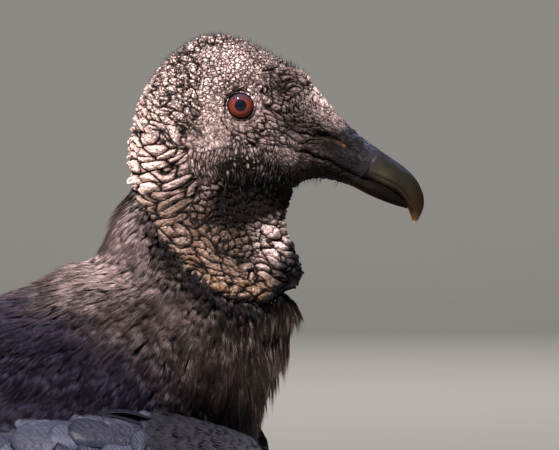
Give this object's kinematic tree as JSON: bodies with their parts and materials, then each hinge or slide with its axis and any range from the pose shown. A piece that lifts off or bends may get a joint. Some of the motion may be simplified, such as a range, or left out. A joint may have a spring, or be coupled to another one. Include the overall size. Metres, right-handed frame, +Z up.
{
  "type": "black vulture",
  "caption": "Still life-size model of a standing black vulture: bare wrinkled head and neck, hooked bill, feather ruff, folded wings, short square tail and pale legs.",
  "frame": {"origin": "middle of the bird's footprint box on the floor, under the middle of its length", "axes": "+X the way the bird faces, from tail to bill; +Y its left side; +Z up"},
  "size_m": [0.443, 0.1936, 0.3639],
  "materials": {
    "bare_skin": "matt, deeply wrinkled, grey-brown skin with paler ridges",
    "horn": "satin horn, grey-olive turning amber towards the tip",
    "eye": "wet, red-brown iris round a dark pupil",
    "ruff_feathers": "soft hair-like brown-black feathers",
    "body_feathers": "matt black contour feathers",
    "flight_feathers": "black vanes with a slight blue-grey sheen",
    "leg_skin": "dry greyish white scales",
    "claw": "satin dark horn"
  },
  "bodies": {
    "root": {"bill_lower": "horn", "bill_upper": "horn", "claw_left_hind": "claw", "claw_left_inner": "claw", "claw_left_middle": "claw", "claw_left_outer": "claw", "claw_right_hind": "claw", "claw_right_inner": "claw", "claw_right_middle": "claw", "claw_right_outer": "claw", "collar": "ruff_feathers", "eye_left": "eye", "eye_right": "eye", "head": "bare_skin", "neck": "bare_skin", "shank_left": "leg_skin", "shank_right": "leg_skin", "tail": "flight_feathers", "thigh_left": "body_feathers", "thigh_right": "body_feathers", "toe_left_hind": "leg_skin", "toe_left_inner": "leg_skin", "toe_left_middle": "leg_skin", "toe_left_outer": "leg_skin", "toe_right_hind": "leg_skin", "toe_right_inner": "leg_skin", "toe_right_middle": "leg_skin", "toe_right_outer": "leg_skin", "trunk": "body_feathers", "wing_left": "flight_feathers", "wing_right": "flight_feathers"}
  },
  "joints": []
}
